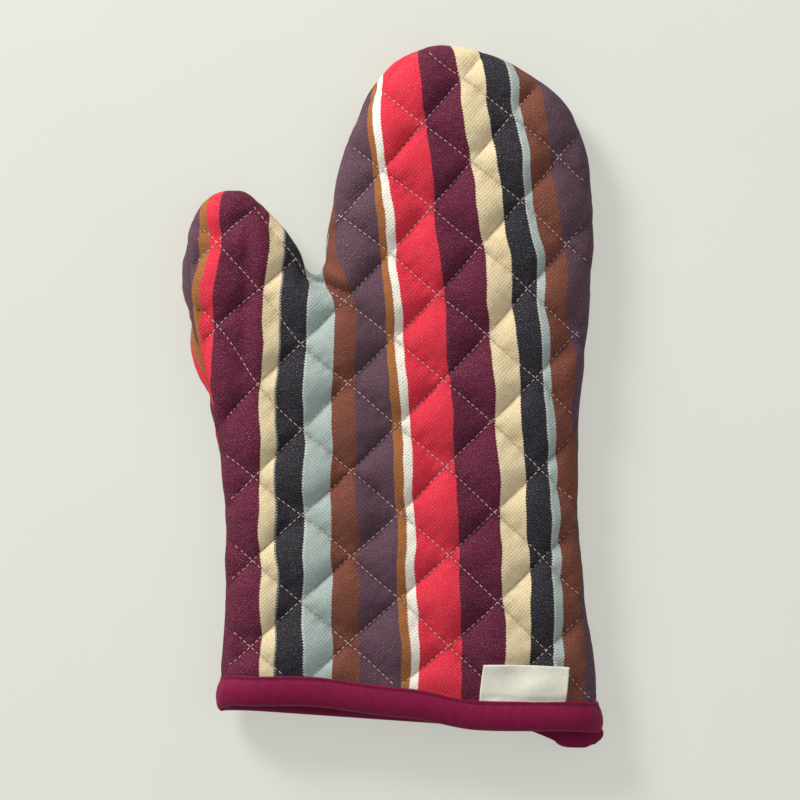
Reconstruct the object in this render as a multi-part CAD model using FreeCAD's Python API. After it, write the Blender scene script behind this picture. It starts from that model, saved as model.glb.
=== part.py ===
"""A padded oven mitt lying on its back panel: +X away from the thumb, +Y to the fingertips, +Z up.

The origin is the middle of the footprint, on the surface that the mitt lies on. Two quilted panels,
front and back, are sewn together round the edge. Each panel is striped cloth, wadding and lining,
and each layer is cut at the two fold lines, where the thumb and the fingers bend. All sizes are in mm.
"""

import FreeCAD, Part
import math
import os

# Plan of the mitt
mitt_length = 323.0  # cuff edge to fingertip, along Y
hand_width = 125.0
thumb_width = 58.4
crotch_gap = 8.0  # between the thumb and the fingers, where they part
cuff_flare = 6.0  # how far the cuff's corner stands out past the hand
finger_length = 103.7  # crotch to fingertip
thumb_rise = 36.0  # crotch to thumb tip
waist_height = 113.0  # fingertip end of the wrist, above the cuff
waist_right_pinch = 13.2  # from the widest place in to the narrowest, on each side
waist_left_pinch = 20.0
cuff_left_pinch = 14.6
cuff_slant = 4.0  # degrees that the cuff edge falls towards +X

# Section through the panels
mitt_height = 26.0
edge_upright = 1.0  # height of the upright strip round the rim
cloth_thickness = 0.6
wadding_thickness = 4.6
lining_thickness = 0.5

# Cuff binding and label
binding_width = 12.0
tape_thickness = 0.9
binding_step = 1.0  # length over which a cloth steps in under the tape
label_width = 40.0
label_height = 16.5
label_thickness = 0.4
label_from_corner = 17.5

# Hanging loop, sewn down inside the cuff at the right-hand corner
loop_width = 13.0
loop_reach = 34.0  # from the stitches that hold it to its round end
loop_height = 10.0
loop_thickness = 1.2
loop_direction = 154.0  # degrees from +X
loop_from_corner = 15.5
loop_setback = 0.9
tack_radius = 0.8
tack_clearance = 0.2

# Stitching: quilting in diamonds, the edge seam and the binding's seam
diamond_width = 45.5
diamond_height = 40.3
stitch_lean = 3.6  # degrees that the diamonds lean to the left
front_diamond = (21.8, 48.0)  # a crossing on each panel
back_diamond = (4.0, 30.0)
thread_width = 0.5
thread_depth = 0.3
stitch_margin = 1.0  # from the quilting to a fold, the rim or the binding
seam_thread = 0.5

# Fold lines
finger_fold_rise = 7.0  # above the crotch
thumb_fold_angle = 20.0  # degrees from Y
fold_gap = 0.4

half_height = mitt_height / 2
rim_radius = half_height - edge_upright / 2
panel_thickness = cloth_thickness + wadding_thickness + lining_thickness
wadding_end = cloth_thickness + wadding_thickness
cuff_drop = 5.6  # from the cuff's middle down to the lowest point of its right-hand corner
total_width = thumb_width + crotch_gap + hand_width + cuff_flare
right_x = total_width / 2
left_x = -total_width / 2
top_y = (mitt_length + cuff_drop) / 2
cuff_y = top_y - mitt_length + cuff_drop  # height of the cuff edge on the line x = 0
crotch_x = left_x + thumb_width + crotch_gap / 2 - 1.0
crotch_y = top_y - finger_length
hand_right_x = right_x - cuff_flare
hand_left_x = hand_right_x - hand_width
finger_fold_y = crotch_y + finger_fold_rise
FAR = 600.0  # beyond the mitt in any direction


def vector(x, y, z=0.0):
    return FreeCAD.Vector(x, y, z)


def heading(degrees):
    """Unit direction, measured from +X towards +Y."""
    return vector(math.cos(math.radians(degrees)), math.sin(math.radians(degrees)))


def stations():
    """Points of the outline, anticlockwise from below the cuff, each with its heading in degrees."""
    tail_y = cuff_y - 60.0  # the outline runs on past the cuff, where it is cut off
    corner = 25.0
    thumb_tip_y = crotch_y + thumb_rise
    cuff_left_x = left_x + cuff_left_pinch
    return [
        (right_x + 6.0 - corner, tail_y, 0),
        (right_x + 6.0, tail_y + corner, 95),
        (right_x - 0.7, cuff_y - 3.0, 99),
        (right_x - waist_right_pinch, cuff_y + waist_height, 90),
        (hand_right_x, crotch_y + 18.0, 89),
        (hand_right_x - 7.7, top_y - 36.0, 113),
        (hand_right_x - 0.39 * hand_width, top_y - 4.2, 158),
        (hand_right_x - 0.57 * hand_width, top_y, 180),
        (hand_right_x - 0.72 * hand_width, top_y - 6.4, 212),
        (hand_right_x - 0.9 * hand_width, top_y - 40.2, 246),
        (hand_left_x, finger_fold_y, 260),
        (crotch_x + 1.2, crotch_y, 195),
        (crotch_x - 5.5, crotch_y + 4.5, 122),
        (crotch_x - 25.0, thumb_tip_y - 7.5, 138),
        (left_x + 0.4 * thumb_width, thumb_tip_y, 180),
        (left_x + 7.0, thumb_tip_y - 9.0, 236),
        (left_x, crotch_y - 3.0, 271),
        (left_x + 14.5, crotch_y - 76.0, 285),
        (left_x + waist_left_pinch, cuff_y + waist_height - 36.0, 270),
        (cuff_left_x, cuff_y + 8.0, 261),
        (cuff_left_x - 6.0, tail_y + corner, 265),
        (cuff_left_x - 6.0 + corner, tail_y, 0),
    ]


def meeting_point(start, end):
    """Where two arcs of equal tangent length meet between two stations, with the heading there."""
    p = vector(*start[:2])
    q = vector(*end[:2])
    s = heading(start[2])
    t = heading(end[2])
    run = q - p
    along = run.dot(s + t)
    turn = 2 * (1 - s.dot(t))
    if turn < 1e-9:
        reach = run.dot(run) / (2 * along)
    else:
        reach = (math.sqrt(along * along + turn * run.dot(run)) - along) / turn
    middle = (p + q + (s - t) * reach) * 0.5
    direction = (q - t * reach) - (p + s * reach)
    return (middle.x, middle.y, math.degrees(math.atan2(direction.y, direction.x)))


def outline_nodes():
    """The ends of the outline's arcs."""
    given = stations()
    nodes = []
    for i, start in enumerate(given):
        nodes.append(start)
        nodes.append(meeting_point(start, given[(i + 1) % len(given)]))
    return nodes


def arc_between(start, end, inset):
    """The arc from one node to the next, moved inwards by inset. Headings stay as they are."""
    ends = [vector(x, y) + heading(degrees + 90) * inset for x, y, degrees in (start, end)]
    chord = ends[1] - ends[0]
    along = heading(start[2])
    turn = math.atan2(along.x * chord.y - along.y * chord.x, along.dot(chord))
    if abs(turn) < 1e-5:
        return Part.LineSegment(ends[0], ends[1]).toShape()
    side = vector(chord.y, -chord.x) * 0.5
    middle = (ends[0] + ends[1]) * 0.5 + side * math.tan(turn / 2)
    return Part.Arc(ends[0], middle, ends[1]).toShape()


def outline_face(inset):
    """The mitt's plan, smaller all round by inset."""
    nodes = outline_nodes()
    count = len(nodes)
    edges = [arc_between(nodes[i], nodes[(i + 1) % count], inset) for i in range(count)]
    return Part.Face(Part.Wire(edges))


def envelope(inset):
    """The closed pillow that lies inset below the mitt's outer surface, with a round rim."""
    slab = outline_face(inset)
    slab.translate(vector(0, 0, inset))
    pillow = slab.extrude(vector(0, 0, mitt_height - 2 * inset))
    rim = [edge for edge in pillow.Edges if abs(edge.BoundBox.ZLength) < 1e-6]
    return pillow.makeFillet(rim_radius - inset, rim)


def oriented_box(low, high, origin, degrees):
    """A box from low to high in axes that stand at origin, with X turned by degrees."""
    sides = [b - a for a, b in zip(low, high)]
    box = Part.makeBox(*sides, vector(*low))
    box.rotate(vector(0, 0), vector(0, 0, 1), degrees)
    box.translate(vector(*origin))
    return box


def in_cuff_frame(low, high):
    """A box whose X runs along the cuff edge and whose Y is the distance from it."""
    return oriented_box(low, high, (0, cuff_y, 0), -cuff_slant)


def above_cuff(near, far):
    return in_cuff_frame((-FAR, near, -FAR), (FAR, far, FAR))


def at_height(low, high):
    return Part.makeBox(2 * FAR, 2 * FAR, high - low, vector(-FAR, -FAR, low))


def zone_boxes(gap):
    """The palm's, the thumb's and the fingers' share of the plan, gap apart at the folds."""
    fold = (crotch_x, crotch_y, 0)
    left_of_fold = oriented_box((-FAR, -FAR, -FAR), (-gap / 2, FAR, FAR), fold, -thumb_fold_angle)
    right_of_fold = oriented_box((gap / 2, -FAR, -FAR), (FAR, FAR, FAR), fold, -thumb_fold_angle)
    left_of_crotch = Part.makeBox(FAR, 2 * FAR, 2 * FAR, vector(crotch_x - FAR, -FAR, -FAR))
    height = finger_fold_y + gap / 2
    over_fold = Part.makeBox(FAR, FAR, 2 * FAR, vector(crotch_x, height, -FAR))
    under_fold = Part.makeBox(2 * FAR, FAR, 2 * FAR, vector(-FAR, height - gap - FAR, -FAR))
    return {
        "palm": right_of_fold.common(under_fold),
        "thumb": left_of_fold.common(left_of_crotch),
        "fingers": over_fold,
    }


def between(pillows, outer, inner, near, far):
    """The wall from one envelope to the next one in, over a stretch above the cuff edge."""
    return pillows[outer].cut(pillows[inner]).common(above_cuff(near, far))


def layers(pillows):
    """Cloth, wadding and lining as whole tubes, each stepping in under the binding's two legs."""
    edge = tape_thickness
    top = binding_width
    step = binding_width + binding_step
    tucked_cloth = tape_thickness + cloth_thickness
    tucked_wadding = wadding_end - tape_thickness
    tucked_lining = panel_thickness - tape_thickness
    cloth = [
        between(pillows, 0, cloth_thickness, step, FAR),
        between(pillows, 0, tucked_cloth, top, step),
        between(pillows, tape_thickness, tucked_cloth, edge, top),
    ]
    wadding = [
        between(pillows, cloth_thickness, wadding_end, step, FAR),
        between(pillows, tucked_cloth, tucked_wadding, edge, step),
    ]
    lining = [
        between(pillows, wadding_end, panel_thickness, step, FAR),
        between(pillows, tucked_wadding, panel_thickness, top, step),
        between(pillows, tucked_wadding, tucked_lining, edge, top),
    ]
    tubes = {"cloth": cloth, "wadding": wadding, "lining": lining}
    return {name: joined(pieces) for name, pieces in tubes.items()}


def joined(pieces):
    return pieces[0].multiFuse(pieces[1:]).removeSplitter()


def cuff_binding(pillows):
    """One tape folded over the raw edge all round the cuff: an outer leg, an inner leg and the fold."""
    whole = between(pillows, 0, panel_thickness, 0, binding_width)
    inner_edge = panel_thickness - tape_thickness
    held = between(pillows, tape_thickness, inner_edge, tape_thickness, binding_width)
    return whole.cut(held)


def binding_stitching(pillows):
    """The seam that joins the tape to the cloth, in the ditch along its upper edge."""
    return between(pillows, 0, thread_depth, binding_width, binding_width + thread_width)


def edge_seam(pillows):
    """The seam that joins the two panels round the edge, just inside the cloth."""
    inner = cloth_thickness + seam_thread
    ring = between(pillows, cloth_thickness, inner, binding_width + binding_step, FAR)
    return ring.common(at_height(half_height - seam_thread / 2, half_height + seam_thread / 2))


def quilting(crossing, bottom):
    """Both families of quilting lines on one panel, as threads lying in the cloth's outer face."""
    slope = math.degrees(math.atan2(diamond_height, diamond_width))
    reach = mitt_length + total_width
    count = int(reach / diamond_width)
    start = vector(*crossing)
    low = (-reach, -thread_width / 2, bottom)
    high = (reach, thread_width / 2, bottom + thread_depth)
    lines = []
    for i in range(-count, count + 1):
        place = start + heading(stitch_lean) * (i * diamond_width)
        for tilt in (slope, 180 - slope):
            lines.append(oriented_box(low, high, (place.x, place.y, 0), tilt + stitch_lean))
    margin = rim_radius + stitch_margin
    field = outline_face(margin).extrude(vector(0, 0, mitt_height))
    field = field.common(above_cuff(binding_width + binding_step + stitch_margin, FAR))
    inside = [line.common(field) for line in lines]
    return joined([line for line in inside if line.Solids])


def label():
    """A blank cloth label that stands up from the binding's upper edge, on the front panel."""
    right = right_x - label_from_corner
    low = (right - label_width, binding_width, mitt_height)
    high = (right, binding_width + label_height, mitt_height + label_thickness)
    return in_cuff_frame(low, high)


def teardrop(near, near_radius, far, far_radius):
    """A face in the XZ plane: two circles and the two straight lines that touch them both."""
    lean = math.asin((far_radius - near_radius) / (far - near))
    points = []
    for x, radius in ((near, near_radius), (far, far_radius)):
        touch = vector(x - radius * math.sin(lean), 0, radius * math.cos(lean))
        points.append((touch, vector(touch.x, 0, -touch.z)))
    tail = Part.Arc(points[0][1], vector(near - near_radius, 0), points[0][0])
    nose = Part.Arc(points[1][0], vector(far + far_radius, 0), points[1][1])
    upper = Part.LineSegment(points[0][0], points[1][0])
    lower = Part.LineSegment(points[1][1], points[0][1])
    return Part.Face(Part.Wire([part.toShape() for part in (tail, upper, nose, lower)]))


def loop_pivot():
    """Where the loop is sewn down, in plan."""
    along = heading(-cuff_slant) * (right_x - loop_from_corner)
    return vector(0, cuff_y) + along + heading(90 - cuff_slant) * loop_setback


def hanging_loop():
    """A strip of binding tape folded double, pinched together at its sewn end and round at the other."""
    half_width = loop_width / 2
    far_radius = loop_height / 2
    far = loop_reach - far_radius
    eye_end = 5.0
    eye_start_radius = 0.3
    outer = teardrop(0, loop_thickness, far, far_radius)
    eye = teardrop(eye_end, eye_start_radius, far, far_radius - loop_thickness)
    strap = outer.cut(eye).extrude(vector(0, loop_width, 0))
    strap.translate(vector(0, -half_width, 0))
    pad = Part.makeCylinder(half_width, 2 * loop_thickness, vector(0, 0, -loop_thickness))
    strap = joined([strap, pad])
    hole_radius = tack_radius + tack_clearance
    strap = strap.cut(Part.makeCylinder(hole_radius, loop_height, vector(0, 0, -loop_height / 2)))
    strap.rotate(vector(0, 0), vector(0, 0, 1), loop_direction)
    strap.translate(loop_pivot() + vector(0, 0, half_height))
    return strap


def loop_tack():
    """The knot of thread that holds the loop down on the binding, and that it swings about."""
    height = half_height + loop_thickness - panel_thickness
    return Part.makeCylinder(tack_radius, height, loop_pivot() + vector(0, 0, panel_thickness))


def panel_pieces(pillows, halves, zones):
    """Every layer of each panel, cut at the folds, with its quilting let into the cloth."""
    tubes = layers(pillows)
    trim = {"cloth": binding_stitching(pillows), "wadding": edge_seam(pillows)}
    threads = {
        "front": quilting(front_diamond, mitt_height - thread_depth),
        "back": quilting(back_diamond, 0),
    }
    fields = zone_boxes(fold_gap + 2 * stitch_margin)
    pieces = {}
    for panel, half in halves.items():
        for zone, box in zones.items():
            quilt = threads[panel].common(fields[zone])
            pieces[f"{panel}_quilting_{zone}"] = quilt
            for layer, tube in tubes.items():
                piece = tube.common(half).common(box)
                if layer in trim:
                    piece = piece.cut(trim[layer])
                if layer == "cloth":
                    piece = piece.cut(quilt)
                pieces[f"{panel}_{layer}_{zone}"] = piece
    return pieces


def all_pieces():
    insets = {
        0,
        thread_depth,
        cloth_thickness,
        tape_thickness,
        cloth_thickness + seam_thread,
        tape_thickness + cloth_thickness,
        wadding_end - tape_thickness,
        panel_thickness - tape_thickness,
        wadding_end,
        panel_thickness,
    }
    pillows = {inset: envelope(inset) for inset in insets}
    halves = {"front": at_height(half_height, FAR), "back": at_height(-FAR, half_height)}
    zones = zone_boxes(fold_gap)
    pieces = panel_pieces(pillows, halves, zones)
    seam = edge_seam(pillows)
    for zone, box in zones.items():
        pieces[f"edge_seam_{zone}"] = seam.common(box)
    pieces["cuff_binding"] = cuff_binding(pillows)
    pieces["binding_stitching"] = binding_stitching(pillows)
    pieces["label"] = label()
    pieces["hanging_loop"] = hanging_loop()
    pieces["loop_tack"] = loop_tack()
    return pieces


def report(pieces):
    """Prints each piece's size, so that a missing or broken one shows."""
    for name, piece in sorted(pieces.items()):
        box = piece.BoundBox
        size = f"{box.XLength:7.1f} {box.YLength:7.1f} {box.ZLength:6.2f}"
        print(f"{name:24} solids {len(piece.Solids):3} valid {piece.isValid()} volume {piece.Volume:10.1f} {size}")
    pivot = loop_pivot()
    print(f"loop pivot {pivot.x:.2f} {pivot.y:.2f}, crotch {crotch_x:.2f} {crotch_y:.2f}")
    print(f"finger fold {finger_fold_y:.2f}, top {top_y:.2f}, cuff middle {cuff_y:.2f}")


def main():
    os.makedirs("parts", exist_ok=True)
    pieces = all_pieces()
    for name, piece in pieces.items():
        solids = Part.Compound(piece.Solids) if len(piece.Solids) > 1 else piece.Solids[0]
        solids.exportStep(f"parts/{name}.step")
    report(pieces)


main()
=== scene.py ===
"""Looks of a quilted oven mitt that lies on its back panel: +X away from the thumb, +Y to the fingertips.

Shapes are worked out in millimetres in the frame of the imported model, and turned into metres in new_mesh.
Each panel is a sheet of striped cloth that follows an oval section round the edge of the mitt's plan.
"""

import math

import bpy
import numpy as np
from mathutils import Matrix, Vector
from mathutils.bvhtree import BVHTree
from mathutils.geometry import delaunay_2d_cdt
from mathutils.kdtree import KDTree


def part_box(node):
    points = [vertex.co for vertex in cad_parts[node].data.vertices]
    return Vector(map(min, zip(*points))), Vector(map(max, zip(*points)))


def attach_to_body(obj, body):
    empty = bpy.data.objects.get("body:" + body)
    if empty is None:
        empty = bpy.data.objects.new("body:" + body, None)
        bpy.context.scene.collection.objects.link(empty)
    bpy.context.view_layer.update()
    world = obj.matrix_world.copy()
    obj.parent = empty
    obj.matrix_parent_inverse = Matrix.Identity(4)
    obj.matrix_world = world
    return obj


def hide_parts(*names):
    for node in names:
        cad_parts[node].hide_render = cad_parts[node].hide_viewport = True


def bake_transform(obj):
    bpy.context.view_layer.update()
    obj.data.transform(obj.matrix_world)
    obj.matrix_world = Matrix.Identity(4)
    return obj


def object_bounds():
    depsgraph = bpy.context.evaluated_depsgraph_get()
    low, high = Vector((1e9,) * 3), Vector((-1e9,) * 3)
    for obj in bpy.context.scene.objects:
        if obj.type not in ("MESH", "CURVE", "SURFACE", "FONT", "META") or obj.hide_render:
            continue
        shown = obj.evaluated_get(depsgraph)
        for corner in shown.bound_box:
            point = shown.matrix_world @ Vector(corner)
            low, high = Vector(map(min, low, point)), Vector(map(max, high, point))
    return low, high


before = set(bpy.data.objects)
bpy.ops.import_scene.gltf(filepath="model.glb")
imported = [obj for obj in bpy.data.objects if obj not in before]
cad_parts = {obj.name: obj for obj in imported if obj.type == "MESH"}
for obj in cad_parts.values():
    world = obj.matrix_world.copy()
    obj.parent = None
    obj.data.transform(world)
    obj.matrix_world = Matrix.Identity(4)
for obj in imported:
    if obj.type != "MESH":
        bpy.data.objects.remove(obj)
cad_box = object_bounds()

MM = 0.001

# Plan of the mitt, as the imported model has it
mitt_low, mitt_high = (np.array(corner) / MM for corner in cad_box)
right_x = -mitt_low[0]
left_x = mitt_low[0]
top_y = mitt_high[1]
mitt_height = 26.0
half_height = mitt_height / 2
cuff_slant = math.radians(4.0)
cuff_to_tip = 317.4
cuff_y = top_y - cuff_to_tip
hand_width = 125.0
thumb_width = 58.4
cuff_flare = 6.0
finger_length = 103.7
thumb_rise = 36.0
waist_height = 113.0
waist_right_pinch = 13.2
waist_left_pinch = 20.0
cuff_left_pinch = 14.6
crotch_x = left_x + thumb_width + 3.0
crotch_y = top_y - finger_length
hand_right_x = right_x - cuff_flare
hand_left_x = hand_right_x - hand_width
finger_fold_y = crotch_y + 7.0
thumb_fold_angle = math.radians(20.0)

# Oval section: an ellipse round the edge, which meets a slightly crowned face
rim_reach = 22.0
crown_reach = 58.0
crown_share = 0.12
rim_band = 5.0  # the strip next to the edge that is meshed in rings
panel_thickness = 5.2
cloth_start = 5.5  # the cloth's cut edge, inside the binding, above the cuff edge

# Quilting
pitch = 29.8  # between neighbouring lines
valley = 3.9  # how deep the stitches pull the cloth in
rim_valley = 1.7  # how deep they pull it in next to the edge seam
seam_groove = 0.9  # how deep the edge seam pulls it in
plump = 1.0  # how far the wadding pushes the cloth out between the lines
puff_power = 2.8  # how soon a square of quilting reaches its full height
line_numbers = range(-14, 15)
line_seed = 40  # each family of lines wobbles a little in its own way

# Cuff
binding_width = 14.0
ditch_height = 12.7  # the row of stitches along the tape's upper edge
tape_middle = -3.0  # how far out the raw edge lies, between the tape's two legs
ring_count = 320
rim_share = 54  # points of a ring on each rounded quarter
cuff_across = np.array([math.cos(cuff_slant), -math.sin(cuff_slant)])
cuff_up = np.array([math.sin(cuff_slant), math.cos(cuff_slant)])

# Label, along the tape's upper edge
label_width = 40.0
label_height = 17.5
label_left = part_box("label")[0][0] / MM - 3.2

# Stitches: length, gap, width and height
stitch_points = 5
quilting_stitch = (2.3, 0.55, 0.38, 0.3)
seam_stitch = (2.3, 0.9, 0.5, 0.4)
tape_stitch = (2.4, 0.7, 0.42, 0.3)

# Where the thumb and the fingers part, and how far a bend at each would reach (the reaches go unused)
crotch = np.array([crotch_x, crotch_y])
thumb_way = np.array([-math.cos(thumb_fold_angle), math.sin(thumb_fold_angle)])
thumb_blend = 34.0
finger_blend = 46.0

sides = ("hand_side", "thumb_side")
settling_frames = 14
settling_scale = 10  # the cloth is simulated at this many times life size
most_settled = 1.3
table_softness = 1.2  # depth of the layer that the tabletop presses the cloth into


def smooth(value, low, high):
    """0 below low, 1 above high, and an even ease between."""
    t = np.clip((value - low) / (high - low), 0, 1)
    return t * t * (3 - 2 * t)


def waves(points, length, seed, count=9):
    """A smooth random field of about -1 to 1 whose bumps are length apart."""
    draw = np.random.default_rng(seed)
    angle = draw.uniform(0, 2 * np.pi, count)
    size = 2 * np.pi / (length * draw.uniform(0.7, 1.5, count))
    phase = draw.uniform(0, 2 * np.pi, count)
    x = points[:, 0:1] * np.cos(angle) + points[:, 1:2] * np.sin(angle)
    return np.sin(x * size + phase).sum(1) / math.sqrt(count)


def bell(value, width):
    """1 where the value is 0, and less the further it is from 0."""
    return np.exp(-((value / width) ** 2))


def lengths(line):
    """The length along a line of points, from its start to each of them."""
    return np.concatenate([[0], np.cumsum(np.linalg.norm(np.diff(line, axis=0), axis=1))])


def points_at(place, length, line):
    """The points of a line at given lengths along it."""
    return np.stack([np.interp(place, length, column) for column in line.T], 1)


def grid_faces(rows, columns, closed=False, turned=False):
    """Quads of a grid of vertices that is numbered row by row. closed joins the ends of each row."""
    faces = []
    for j in range(rows - 1):
        for i in range(columns if closed else columns - 1):
            a, b = j * columns + i, j * columns + (i + 1) % columns
            faces.append((a, a + columns, b + columns, b) if turned else (a, b, b + columns, a + columns))
    return faces


# ---------------------------------------------------------------- outline


def stations():
    """Points of the outline, anticlockwise from below the cuff, each with its heading in degrees."""
    tail_y = cuff_y - 60.0
    corner = 25.0
    thumb_tip_y = crotch_y + thumb_rise
    cuff_left_x = left_x + cuff_left_pinch
    return [
        (right_x + 6.0 - corner, tail_y, 0),
        (right_x + 6.0, tail_y + corner, 95),
        (right_x - 0.7, cuff_y - 3.0, 99),
        (right_x - waist_right_pinch, cuff_y + waist_height, 90),
        (hand_right_x, crotch_y + 18.0, 89),
        (hand_right_x - 7.7, top_y - 36.0, 113),
        (hand_right_x - 0.39 * hand_width, top_y - 4.2, 158),
        (hand_right_x - 0.57 * hand_width, top_y, 180),
        (hand_right_x - 0.72 * hand_width, top_y - 6.4, 212),
        (hand_right_x - 0.9 * hand_width, top_y - 40.2, 246),
        (hand_left_x, finger_fold_y, 260),
        (crotch_x + 1.2, crotch_y, 195),
        (crotch_x - 5.5, crotch_y + 4.5, 122),
        (crotch_x - 25.0, thumb_tip_y - 7.5, 138),
        (left_x + 0.4 * thumb_width, thumb_tip_y, 180),
        (left_x + 7.0, thumb_tip_y - 9.0, 236),
        (left_x, crotch_y - 3.0, 271),
        (left_x + 14.5, crotch_y - 76.0, 285),
        (left_x + waist_left_pinch, cuff_y + waist_height - 36.0, 270),
        (cuff_left_x, cuff_y + 8.0, 261),
        (cuff_left_x - 6.0, tail_y + corner, 265),
        (cuff_left_x - 6.0 + corner, tail_y, 0),
    ]


def unit(degrees):
    return np.array([math.cos(math.radians(degrees)), math.sin(math.radians(degrees))])


def meeting_point(start, end):
    """Where two arcs of equal tangent length meet between two stations, with the heading there."""
    p, q = np.array(start[:2]), np.array(end[:2])
    s, t = unit(start[2]), unit(end[2])
    run = q - p
    along = run @ (s + t)
    turn = 2 * (1 - s @ t)
    if turn < 1e-9:
        reach = run @ run / (2 * along)
    else:
        reach = (math.sqrt(along * along + turn * (run @ run)) - along) / turn
    middle = (p + q + (s - t) * reach) / 2
    way = (q - t * reach) - (p + s * reach)
    return (*middle, math.degrees(math.atan2(way[1], way[0])))


def outline(step=0.25):
    """The outline as many points, with the inward unit normal at each."""
    given = stations()
    nodes = []
    for i, start in enumerate(given):
        nodes += [start, meeting_point(start, given[(i + 1) % len(given)])]
    points, inward = [], []
    for i, start in enumerate(nodes):
        p, q = np.array(start[:2]), np.array(nodes[(i + 1) % len(nodes)][:2])
        chord = q - p
        heading = math.radians(start[2])
        half = math.atan2(
            math.cos(heading) * chord[1] - math.sin(heading) * chord[0],
            math.cos(heading) * chord[0] + math.sin(heading) * chord[1],
        )
        size = np.linalg.norm(chord)
        length = size if abs(half) < 1e-5 else size * half / math.sin(half)
        for t in np.arange(0, 1, 1 / max(1, round(length / step))):
            part = t * half
            way = heading + part
            run = size * t if abs(half) < 1e-5 else size * math.sin(part) / math.sin(half)
            points.append(p + run * np.array([math.cos(way), math.sin(way)]))
            inward.append([-math.sin(way + part), math.cos(way + part)])
    return np.array(points), np.array(inward)


edge_points, edge_inward = outline()
edge_tree = KDTree(len(edge_points))
for number, place in enumerate(edge_points):
    edge_tree.insert((place[0], place[1], 0), number)
edge_tree.balance()


def above_cuff(points):
    """Distance from the cuff edge's line, towards the fingertips."""
    return points[:, 0] * math.sin(cuff_slant) + (points[:, 1] - cuff_y) * math.cos(cuff_slant)


def edge_above(height):
    """Numbers of the outline's points above a height over the cuff line, as one run."""
    keep = np.flatnonzero(above_cuff(edge_points) > height)
    gap = np.flatnonzero(np.diff(keep) > 1)
    return np.roll(keep, -gap[0] - 1) if len(gap) else keep


def nearest_edge(points):
    """For each point, the nearest outline point, the unit vector from it to the point, and the distance."""
    found = np.array([edge_tree.find((p[0], p[1], 0))[1] for p in points], int)
    foot = edge_points[found]
    away = points[:, :2] - foot
    distance = np.linalg.norm(away, axis=1)
    inward = np.where(distance[:, None] > 1, away / np.maximum(distance, 1e-6)[:, None], edge_inward[found])
    return foot, inward, distance


# ---------------------------------------------------------------- section

section_angle = np.radians(np.linspace(90, -60, 601))
section_speed = np.hypot(rim_reach * np.sin(section_angle), half_height * np.cos(section_angle))
section_step = (section_speed[1:] + section_speed[:-1]) / 2 * np.diff(-section_angle)
section_arc = np.concatenate([[0], np.cumsum(section_step)])


def angle_at(distance):
    """Section angle at a plan distance from the edge: 0 at the edge, 90 degrees on the face."""
    return np.arccos(np.clip(1 - distance / rim_reach, 0, 1))


def arc_at(angle):
    """Length along the section from the face down to an angle."""
    return np.interp(-angle, -section_angle, section_arc)


def plan_distance(angle):
    return rim_reach * (1 - np.cos(angle))


def rise(angle, distance):
    """Height above the mid-plane."""
    far = np.clip(distance / crown_reach, 0, 1)
    crown = np.sqrt(1 - (1 - far) ** 2)
    size = (1 - crown_share) * np.sin(np.abs(angle)) + crown_share * crown
    return half_height * size * np.sign(angle)


def section_normal(inward, angle, sign=1):
    """Outward unit normals of the smooth section. sign is -1 on the back panel."""
    out = half_height * np.cos(angle)
    up = rim_reach * np.sin(angle)
    normal = np.concatenate([-inward * out[:, None], (up * sign)[:, None]], 1)
    return normal / np.linalg.norm(normal, axis=1)[:, None]


def seam_angle(points):
    """The section angle of the edge seam, which rolls up on to the front along the thumb's outer side."""
    roll = smooth(points[:, 1], -28, 2) * (1 - smooth(points[:, 1], 62, 84))
    return np.radians(31.0) * roll * (points[:, 0] < left_x + 24)


# ---------------------------------------------------------------- quilting lines and stripes

# Each panel's two families of lines. A family counts its lines across the plan, in units of 100 mm: the count
# at the origin, its growth across and up, its three bends, and its change on the thumb.
families = {
    "front": (
        (-1.69, 2.14, 2.57, 0.15, -0.04, 0.08, -0.57),
        (0.65, 2.39, -2.40, -0.07, 0.23, 0.03, 0.27),
    ),
    "back": (
        (0.31, 2.20, 2.48, 0.06, 0.05, 0.05, 0.0),
        (0.12, 2.30, -2.44, 0.05, -0.06, 0.02, 0.0),
    ),
}


def phase(points, terms, seed):
    """Counts quilting lines of one family: it is a whole number on each line."""
    start, across, up, bow, twist, arch, on_thumb = terms
    x, y = points[:, 0] / 100, points[:, 1] / 100
    thumb = smooth(-points[:, 0], 30, 92) * smooth(points[:, 1], -30, 45)
    count = start + across * x + up * y + bow * x * x + twist * x * y + arch * y * y + on_thumb * thumb
    return count + 0.016 * waves(points, 60.0, seed)


def line_distance(count):
    return np.abs(count - np.round(count)) * pitch


def puff(distance):
    """0 on a quilting line and 1 in the middle between two."""
    return 1 - (1 - np.clip(distance * 2 / pitch, 0, 1)) ** puff_power


def trace(terms, seed, number, step):
    """Points a step apart along one quilting line."""
    slope = np.array(terms[1:3]) / 100
    along = np.array([-slope[1], slope[0]]) / np.linalg.norm(slope)
    start = slope * (number - terms[0]) / (slope @ slope)
    points = start + np.arange(-330, 330, step)[:, None] * along
    for _ in range(4):
        count = phase(points, terms, seed)
        points = points + ((number - count) / (slope @ slope))[:, None] * slope
    return points


def quilting_lines(side, step):
    """Every quilting line of one panel, with its family's number and its own."""
    return [
        (family, number, trace(terms, line_seed + family, number, step))
        for family, terms in enumerate(families[side])
        for number in line_numbers
    ]


stripe_level = -58.0
stripes = [  # each stripe's right-hand edge, where it crosses that level, and its colour
    (-96.5, "purple"),
    (-93.2, "orange"),
    (-87.2, "red"),
    (-63.6, "burgundy"),
    (-56.0, "cream"),
    (-42.8, "black"),
    (-30.0, "grey"),
    (-17.8, "rust"),
    (0.7, "purple"),
    (4.9, "orange"),
    (8.7, "white"),
    (29.3, "red"),
    (49.2, "burgundy"),
    (61.7, "cream"),
    (73.0, "black"),
    (76.8, "grey"),
    (87.2, "rust"),
    (130.0, "purple"),
]
stripe_low = -130.0
stripe_high = 130.0


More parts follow.
